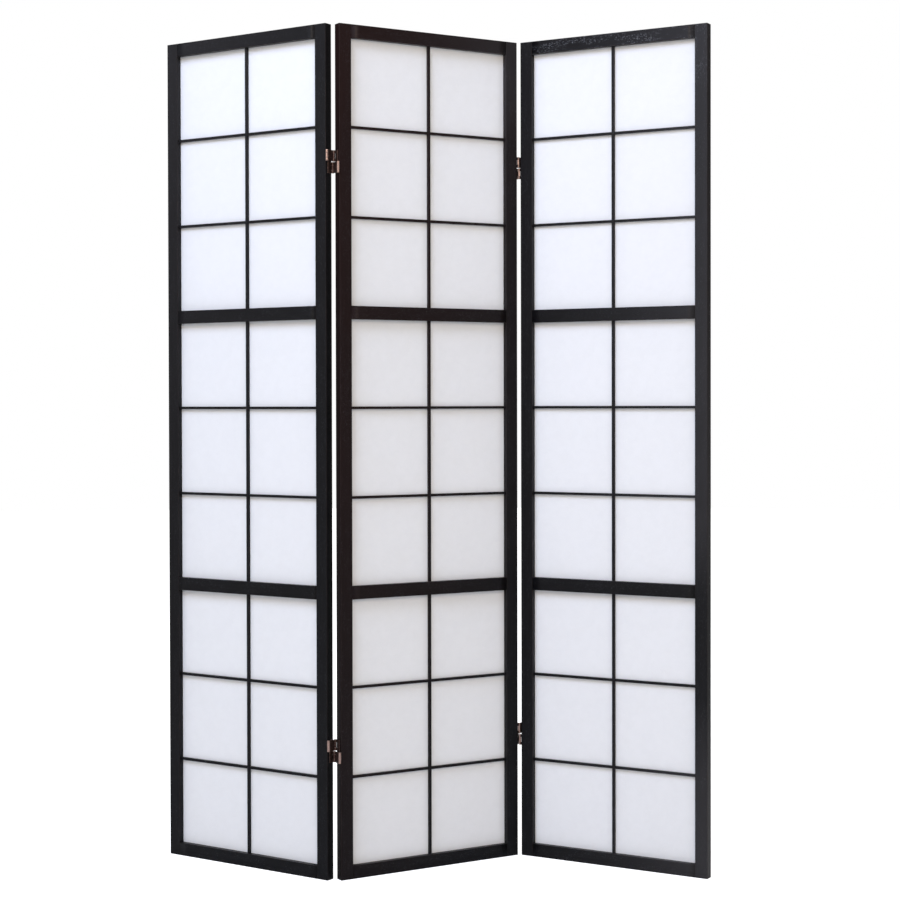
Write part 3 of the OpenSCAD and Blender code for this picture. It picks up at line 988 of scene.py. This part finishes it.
    def beads(self) -> None:
        """Four strips round each opening behind the paper, with the brads that pin them."""
        p = self.sizes
        fit = p.bead_fit
        w = p.rebate_w - fit
        front, back = p.bar_back + 0.45 * MM, p.thickness - p.bead_set_back
        strips = []
        for k in range(p.openings):
            foot = p.rail_h + k * p.pitch
            top = foot + p.opening_h
            for low in (foot - w, top):
                strips.append(((p.stile_w - w, front, low), (p.width - p.stile_w + w, back, low + w)))
            for low in (p.stile_w - w, p.width - p.stile_w):
                strips.append(((low, front, foot + fit), (low + w, back, top - fit)))
        made = eased(boxes(f"{self.name}_paper_beads_lacquered", strips), 0.5 * MM)
        self.timber(made, True, 30, "lattice_lacquer", "paper_beads")
        shape = bmesh.new()
        r = p.brad_r
        lathe(shape, [(0, -0.6 * MM), (r, -0.6 * MM), (r, 0.05 * MM), (0.75 * r, 0.16 * MM), (0, 0.22 * MM)], 12)
        brad = from_bmesh("brad", shape)
        brad.data.transform(Matrix.Rotation(-math.pi / 2, 4, "X"))
        heads = self.trees.brads.grow(
            f"{self.name}_bead_brads", Brad=brad, Width=p.opening_w + w, Height=p.opening_h + w, Brads=p.brads,
            Openings=p.openings, Opening_Pitch=p.pitch, Material=self.finishes.steel,
        )
        discard(brad)
        centre = Vector((p.width / 2, back, p.rail_h + p.opening_h / 2))
        placed(heads, self.place @ Matrix.Translation(centre))
        mark_wear_and_highlight(heads, 0.0)
        settle(heads, "hinge_screws", self.name)

    def build(self) -> None:
        """Make every piece of the panel."""
        self.stiles()
        self.rails()
        self.lattice()
        self.papers()
        self.beads()


# ---- the hinges ----


@dataclass
class HingeSizes:
    """Driving sizes of a double-acting screen hinge."""

    height: float = 48 * MM
    half_gap: float = 1.5 * MM
    sheet: float = 1.2 * MM
    knuckle_r: float = 3 * MM
    pin_r: float = 1.25 * MM
    pin_out: float = 3.3 * MM
    pin_proud: float = 0.1 * MM
    pin_dome: float = 0.25 * MM
    link_len: float = 21.15 * MM
    link_shoulder: float = 3.8 * MM
    open_shoulder: float = 5.6 * MM
    link_knuckle_h: float = 10 * MM
    knuckle_gap: float = 0.25 * MM
    relief: float = 6.5 * MM
    screw_in: float = 9 * MM
    screw_low: float = 7 * MM
    screw_high: float = 19.5 * MM
    leaf_ease: float = 0.22 * MM
    link_ease: float = 0.2 * MM
    # Copper on the knuckles at the panels' front: partly wear, partly painted highlight.
    bright: float = 0.8
    dull: float = 0.1

    @property
    def half_h(self) -> float:
        """Height of one half."""
        return (self.height - self.half_gap) / 2

    @property
    def outer_h(self) -> float:
        """Height of a leaf's knuckle."""
        return (self.half_h - self.link_knuckle_h) / 2 - self.knuckle_gap


@dataclass
class Leaf:
    """One leaf: an S-shaped plate on a panel's edge, with rolled knuckles at its two ends."""

    sizes: HingeSizes
    depth: float

    def outline(self) -> list[tuple[float, float]]:
        """The plate's outline across the edge and up it, anticlockwise."""
        h = self.sizes
        near, far = 3.7 * MM, self.depth - h.relief
        low, high, gap = -h.height / 2, h.height / 2, h.half_gap / 2
        return [
            (self.depth - far, low), (self.depth - near, low), (self.depth - near, -gap), (far, -gap),
            (far, high), (near, high), (near, gap), (self.depth - far, gap),
        ]

    def knuckle(self) -> list[tuple[float, float]]:
        """Outline of a rolled knuckle about the front pin, out of the edge and across it."""
        h = self.sizes
        wall = h.knuckle_r - h.pin_r - 0.25 * MM
        middle = h.knuckle_r - wall / 2
        path = [(h.sheet / 2, 3.9 * MM), (h.sheet / 2, 3.0 * MM)]
        widths = [h.sheet, h.sheet]
        start, sweep, steps = math.radians(172), math.radians(330), 26
        for i in range(steps + 1):
            angle = start + sweep * i / steps
            path.append((h.pin_out + middle * math.cos(angle), middle * math.sin(angle)))
            widths.append(wall)
        return ribbon(path, widths)

    def build(self, name: str, faces_out: bool) -> Object:
        """Make the leaf in its edge's frame.

        Args:
            name: the new object's name.
            faces_out: the front pin is at the panel's front, and not at its back.

        Returns:
            The leaf, with copper on the knuckles at the panel's front: partly wear, partly painted highlight.
        """
        h = self.sizes
        plate = bmesh.new()
        prism(plate, self.outline(), 0.0, h.sheet)
        lay = Matrix(((0, 0, 1, 0), (1, 0, 0, 0), (0, 1, 0, 0), (0, 0, 0, 1)))
        bmesh.ops.transform(plate, matrix=lay, verts=plate.verts)
        front = self.knuckle()
        back = [(x, self.depth - y) for x, y in reversed(front)]
        for outline, foot in ((front, h.half_gap / 2), (back, -h.height / 2)):
            for low in (foot, foot + h.half_h - h.outer_h):
                prism(plate, outline, low, low + h.outer_h)
        made = eased(from_bmesh(name, plate), h.leaf_ease, 2, 50.0)
        middle = self.depth / 2

        def worn_and_lit(v: Vector) -> float:
            """Least wear and painted highlight of a vertex."""
            if v.x < 2.0 * MM:
                return 0.0
            return h.bright if (v.y < middle) == faces_out else h.dull

        mark_wear_and_highlight(made, 0.3 * MM, worn_and_lit)
        return made


@dataclass
class Link:
    """One link: a plate between two knuckles, drawn from its first pin along Y."""

    sizes: HingeSizes
    far_shoulder: float
    first_in_front: bool
    link_rub_and_highlight: float

    def build(self, name: str, foot: float) -> Object:
        """Make the link of the half that starts at foot, with copper on the knuckle at the panels' front: partly
        wear, partly painted highlight.
        """
        h = self.sizes
        shape = bmesh.new()
        t = h.sheet / 2
        tongue = foot + h.outer_h + h.knuckle_gap
        add_box(shape, (-t, h.link_shoulder, foot), (t, h.link_len - self.far_shoulder, foot + h.half_h))
        for y, turn, shoulder in ((0.0, 1, h.link_shoulder), (h.link_len, -1, self.far_shoulder)):
            join = y + turn * (h.knuckle_r - 0.3 * MM)
            ends = sorted((join, y + turn * (shoulder + 0.2 * MM)))
            add_box(shape, (-t * 0.98, ends[0], tongue), (t * 0.98, ends[1], tongue + h.link_knuckle_h))
            self.tube(shape, y, (h.knuckle_r, h.pin_r + 0.2 * MM), tongue, tongue + h.link_knuckle_h)
        made = eased(from_bmesh(name, shape), h.link_ease, 2, 50.0)
        middle = h.link_len / 2

        def worn_and_lit(v: Vector) -> float:
            """Least wear and painted highlight of a vertex."""
            in_front = (v.y < middle) == self.first_in_front
            return h.bright if in_front and abs(v.y - middle) > middle - h.knuckle_r else self.link_rub_and_highlight

        mark_wear_and_highlight(made, 0.3 * MM, worn_and_lit)
        return made

    @staticmethod
    def tube(shape: BMesh, y: float, radii: tuple[float, float], low: float, high: float) -> None:
        """Add a closed ring wall of an outer and an inner radius about an upright axis at y."""
        sides = 28
        turns = [math.tau * k / sides for k in range(sides)]
        out_low, out_high, in_low, in_high = (
            [shape.verts.new((r * math.cos(turn), y + r * math.sin(turn), z)) for turn in turns]
            for r in radii
            for z in (low, high)
        )
        for k in range(sides):
            n = (k + 1) % sides
            shape.faces.new((out_low[k], out_low[n], out_high[n], out_high[k]))
            shape.faces.new((in_low[n], in_low[k], in_high[k], in_high[n]))
            shape.faces.new((out_high[k], out_high[n], in_high[n], in_high[k]))
            shape.faces.new((out_low[n], out_low[k], in_low[k], in_low[n]))


@dataclass
class Hardware:
    """All the hinges of the screen, placed from the panels and from the frame's leaves."""

    sizes: HingeSizes
    panels: dict[Side, Panel]
    finishes: Finishes
    trees: Trees

    def heights(self, word: str) -> dict[str, float]:
        """Heights of a fold's upper and lower hinges' centres, from the frame."""
        out = {}
        for level in ("top", "bottom"):
            low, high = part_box(f"{word}_{level}_hinge_side_leaf")
            out[level] = (low.z + high.z) / 2
        return out

    def edge(self, side: Side, right: bool, height: float) -> Matrix:
        """Matrix of an edge's frame at a height."""
        panel = self.panels[side]
        p = panel.sizes
        if right:
            return panel.place @ Matrix.Translation((p.width, 0, height))
        return panel.place @ Matrix.Translation((0, p.thickness, height)) @ Matrix.Rotation(math.pi, 4, "Z")

    def folds(self) -> tuple[tuple[str, Side, Side], ...]:
        """Each fold line's word, with the panels on its left and right."""
        return (("left", Side.LEFT, Side.MIDDLE), ("right", Side.MIDDLE, Side.RIGHT))

    def leaves(self) -> None:
        """The two leaves of every hinge."""
        for word, left, right in self.folds():
            for level, height in self.heights(word).items():
                for side, is_right in ((left, True), (right, False)):
                    role = "middle" if side is Side.MIDDLE else "side"
                    node = f"{word}_{level}_hinge_{role}_leaf"
                    panel = self.panels[side]
                    made = Leaf(self.sizes, panel.sizes.thickness).build(f"{node}_plate", is_right)
                    placed(dress(made, self.finishes.bronze), self.edge(side, is_right, height))
                    settle(made, "hinge_bronze", side.value, node)

    def link_frames(self, word: str) -> dict[str, tuple[Matrix, float]]:
        """Frames of a fold's links without their height: origin on the middle panel's pin, Y along the link."""
        h = self.sizes
        middle, other = self.panels[Side.MIDDLE], self.panels[Side(f"{word}_panel")]
        p = middle.sizes
        at_right = [Vector((p.width + h.pin_out, y, 0)) for y in (0, p.thickness)]
        at_left = [Vector((-h.pin_out, y, 0)) for y in (p.thickness, 0)]
        frames = {}
        for half, right, left in zip(("upper", "lower"), at_right, at_left):
            own, far = (left, right) if word == "left" else (right, left)
            start = middle.place @ own
            along = other.place @ far - start
            turn = math.atan2(-along.x, along.y)
            frames[half] = (Matrix.Translation(start) @ Matrix.Rotation(turn, 4, "Z"), along.length)
        return frames

    def links(self) -> None:
        """The crossed links of every hinge, with their pins."""
        h = self.sizes
        for word, _, _ in self.folds():
            for half, (place, length) in self.link_frames(word).items():
                foot = h.half_gap / 2 if half == "upper" else -h.height / 2
                LOG.info("%s %s link spans %.2f mm", word, half, length / MM)
                for level, height in self.heights(word).items():
                    node = f"{word}_{level}_hinge_{half}_link"
                    shoulder = h.link_shoulder if half == "upper" else h.open_shoulder
                    first_in_front = (word == "left") == (half == "lower")
                    # The right fold's links show more copper: partly wear, partly painted highlight.
                    link_rub_and_highlight = 0.05 if word == "left" else 0.30
                    made = Link(self.sizes, shoulder, first_in_front, link_rub_and_highlight).build(f"{node}_plate", foot)
                    placed(dress(made, self.finishes.bronze), Matrix.Translation((0, 0, height)) @ place)
                    settle(made, "hinge_bronze", f"{word}_{half}_links", node)
                self.pins(word, half, place, foot)

    def pins(self, word: str, half: str, place: Matrix, foot: float) -> None:
        """The pins of one half of both hinges. A lower link's far pin ends inside its knuckle."""
        h = self.sizes
        r = h.pin_r
        shape = bmesh.new()
        for height in self.heights(word).values():
            for y in (0.0, h.link_len):
                inside = half == "lower" and y > 0
                past, dome = (-h.outer_h - h.knuckle_gap, 0.0) if inside else (h.pin_proud, h.pin_dome)
                low, high = foot - past, foot + h.half_h + past
                profile = [(0, low - dome), (0.6 * r, low - 0.7 * dome), (r, low), (r, high)]
                profile += [(0.6 * r, high + 0.7 * dome), (0, high + dome)]
                lathe(shape, profile, 20, (0, y, height))
        made = from_bmesh(f"{word}_{half}_link_pins_turned", shape)
        for face in made.data.polygons:
            face.use_smooth = abs(face.normal.z) < 0.95
        mark_wear_and_highlight(made, 0.0)
        placed(dress(made, self.finishes.steel), place)
        settle(made, "hinge_screws", f"{word}_{half}_links", f"{word}_{half}_link_pins")

    def screw(self) -> Object:
        """Countersunk wood screw with a cross recess, its head's face at the origin and its point down."""
        shape = bmesh.new()
        profile = [
            (0, -14 * MM), (0.35 * MM, -13.2 * MM), (1.2 * MM, -10.4 * MM), (1.2 * MM, -1.3 * MM),
            (2.42 * MM, -0.02 * MM), (2.36 * MM, 0.05 * MM), (1.7 * MM, 0.2 * MM), (0.9 * MM, 0.28 * MM),
            (0, 0.3 * MM),
        ]
        lathe(shape, profile, 24)
        made = from_bmesh("screw", shape)
        span, width, depth = 1.35 * MM, 0.32 * MM, 0.6 * MM
        for low, high in (((-span, -width), (span, width)), ((-width, -span), (width, span))):
            cut(made, boxes("tool", [((*low, -depth), (*high, 1 * MM))]))
        for face in made.data.polygons:
            face.use_smooth = face.normal.z > 0.3
        return made

    def screws(self) -> None:
        """Every leaf's screws, one piece for each panel."""
        h = self.sizes
        prototype = self.screw()
        for side, panel in self.panels.items():
            depth = panel.sizes.thickness
            spots = [(h.screw_in, h.screw_high), (h.screw_in, h.screw_low)]
            spots += [(depth - y, -z) for y, z in reversed(spots)]
            points, aims = [], []
            for word, left, right in reversed(self.folds()):
                if side not in (left, right):
                    continue
                for height in self.heights(word).values():
                    edge = self.edge(side, side is left, height)
                    for y, z in spots:
                        points.append(edge @ Vector((h.sheet, y, z)))
                        aims.append(edge.to_3x3() @ Vector((1, 0, 0)))
            base = bpy.data.meshes.new("seats")
            base.from_pydata(points, [], [])
            for value, aim in zip(base.attributes.new(AIM, "FLOAT_VECTOR", "POINT").data, aims):
                value.vector = aim
            made = self.trees.screws.grow(
                f"{side.value}_hinge_screws_driven", base, Screw=prototype, Seed=panel.seed,
                Material=self.finishes.steel,
            )
            mark_wear_and_highlight(made, 0.0)
            settle(made, "hinge_screws", side.value, f"{side.value}_hinge_screws")
        discard(prototype)

    def build(self) -> None:
        """Make every piece of every hinge."""
        self.leaves()
        self.links()
        self.screws()


# ---- studio ----


@dataclass(frozen=True)
class Lamp:
    """A soft area light aimed at a point."""

    name: str
    place: Point
    aim: Point
    size: tuple[float, float]
    watts: float
    colour: Colour = WHITE

    def build(self) -> None:
        """Hang the light."""
        data = bpy.data.lights.new(self.name, "AREA")
        data.shape = "RECTANGLE"
        data.size, data.size_y = self.size
        data.energy = self.watts
        data.color = self.colour
        made = bpy.data.objects.new(self.name, data)
        made.location = self.place
        made.rotation_euler = (Vector(self.aim) - Vector(self.place)).to_track_quat("-Z", "Y").to_euler()
        made.visible_camera = False
        bpy.context.scene.collection.objects.link(made)


@dataclass(frozen=True)
class Studio:
    """White seamless studio: floor, backdrop light and soft lamps, with the camera in front."""

    ambient: float = 0.53
    mirrored: tuple[float, float] = (0.03, 0.85)
    mirrored_between: tuple[float, float] = (-0.2, 0.8)
    bright_side: Point = (-0.35, -0.94, 0.0)
    floor_r: float = 14.0
    camera_place: Point = (0.1091, -4.1053, 1.0004)
    yaw: float = 0.994
    pitch: float = -0.757
    roll: float = -0.116
    lens: float = 76.45
    shift_y: float = -0.025

    def lamps(self) -> tuple[Lamp, ...]:
        """The studio's lamps."""
        return (
            Lamp("key", (-1.4, -2.2, 4.0), (0.0, 0.0, 1.3), (1.8, 1.8), 108.0, (0.628, 0.74, 1.0)),
            Lamp("fill", (0.4, -4.8, 2.8), (0.0, 0.0, 0.9), (1.6, 1.6), 54.5, (1.0, 0.828, 0.64)),
            Lamp("back", (0.6, 3.4, 3.2), (0.0, 0.0, 0.9), (2.4, 1.6), 55.0),
        )

    def world(self) -> None:
        """Backdrop: white to the camera, dimmer as light, and in the gloss a bright front and a dark back."""
        world = bpy.data.worlds.new("studio")
        world.use_nodes = True
        w = Writer(world.node_tree)
        w.tree.nodes.clear()
        rays = w.node("ShaderNodeLightPath").outputs
        towards = w.add("ShaderNodeTexCoord", "Generated")
        front = w.add(
            "ShaderNodeVectorMath", "Value", {"operation": "DOT_PRODUCT"}, {0: towards, 1: self.bright_side}
        )
        mirrored = w.ramp(front, *self.mirrored_between, *self.mirrored)
        shown = w.add("ShaderNodeBackground", Color=WHITE, Strength=self.ambient)
        for ray, strength in (("Is Glossy Ray", mirrored), ("Is Camera Ray", 1.0)):
            other = w.add("ShaderNodeBackground", Color=WHITE, Strength=strength)
            shown = w.add("ShaderNodeMixShader", at={0: Sock(w, rays[ray]), 1: shown, 2: other})
        w.node("ShaderNodeOutputWorld", Surface=shown)
        bpy.context.scene.world = world

    def floor(self) -> None:
        """Pale floor, a wide disc."""
        shape = bmesh.new()
        bmesh.ops.create_circle(shape, cap_ends=True, segments=96, radius=self.floor_r)
        made = dress(from_bmesh("floor", shape), PlainStage("floor_paper").material())

    def camera(self) -> None:
        """The camera, set by its turn, tilt and roll in degrees."""
        data = bpy.data.cameras.new("camera")
        data.lens = self.lens
        data.sensor_width = 36.0
        data.shift_y = self.shift_y
        made = bpy.data.objects.new("camera", data)
        turn, tilt, roll = (math.radians(a) for a in (self.yaw, self.pitch, self.roll))
        upright = Matrix.Rotation(math.pi / 2, 4, "X")
        pose = Matrix.Rotation(turn, 4, "Z") @ Matrix.Rotation(tilt, 4, "X") @ upright
        made.matrix_world = Matrix.Translation(self.camera_place) @ pose @ Matrix.Rotation(roll, 4, "Z")
        bpy.context.scene.collection.objects.link(made)
        bpy.context.scene.camera = made

    def build(self) -> None:
        """Set up the whole studio."""
        self.world()
        self.floor()
        self.camera()
        for lamp in self.lamps():
            lamp.build()
        bpy.context.scene.view_settings.view_transform = "Standard"


# ---- the screen ----


def panel_place(side: Side, sizes: PanelSizes) -> Matrix:
    """Matrix of a panel's own frame, from the boxes of its two stiles."""
    centres = []
    for label in ("left_stile", "right_stile"):
        low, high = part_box(f"{side.value}_{label}")
        centres.append((low + high) / 2)
    along = centres[1] - centres[0]
    turn = math.atan2(along.y, along.x)
    origin = Matrix.Rotation(turn, 4, "Z") @ Vector((-sizes.stile_w / 2, -sizes.thickness / 2, 0))
    start = Vector((centres[0].x, centres[0].y, 0)) + origin
    return Matrix.Translation(start) @ Matrix.Rotation(turn, 4, "Z")


def panel_sizes() -> PanelSizes:
    """A panel's sizes, with its height and width measured on the frame."""
    sizes = PanelSizes(height=0.0, width=0.0)
    left_low, left_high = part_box("middle_panel_left_stile")
    right_low, right_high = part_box("middle_panel_right_stile")
    apart = ((right_low + right_high) / 2 - (left_low + left_high) / 2).to_2d().length
    sizes.height = left_high.z - left_low.z
    sizes.width = apart + sizes.stile_w
    return sizes


def main() -> None:
    """Load the frame and dress the screen."""
    logging.basicConfig(level=logging.INFO, format="%(name)s %(message)s")
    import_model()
    Studio().build()
    sizes = panel_sizes()
    LOG.info("panel %.1f by %.1f mm", sizes.width / MM, sizes.height / MM)
    finishes = Finishes(
        frame=Lacquer("black_lacquer").material(),
        lattice=Lacquer("bar_lacquer", roughness=0.42).material(),
        paper=RicePaper(
            "rice_paper_white", sizes.width / 2, sizes.bar_w, sizes.bar_pitch, sizes.bar_back + 0.12 * MM
        ).material(),
        bronze=AntiqueBronze("antique_bronze").material(),
        steel=AntiqueBronze("bronzed_steel", (0.07, 0.05, 0.04), (0.30, 0.22, 0.18), 0.4).material(),
    )
    trees = Trees()
    panels = {}
    for seed, side in enumerate(Side, 1):
        panels[side] = Panel(side, sizes, panel_place(side, sizes), finishes, trees, seed)
        panels[side].build()
    Hardware(HingeSizes(), panels, finishes, trees).build()


if __name__ == "__main__":
    main()
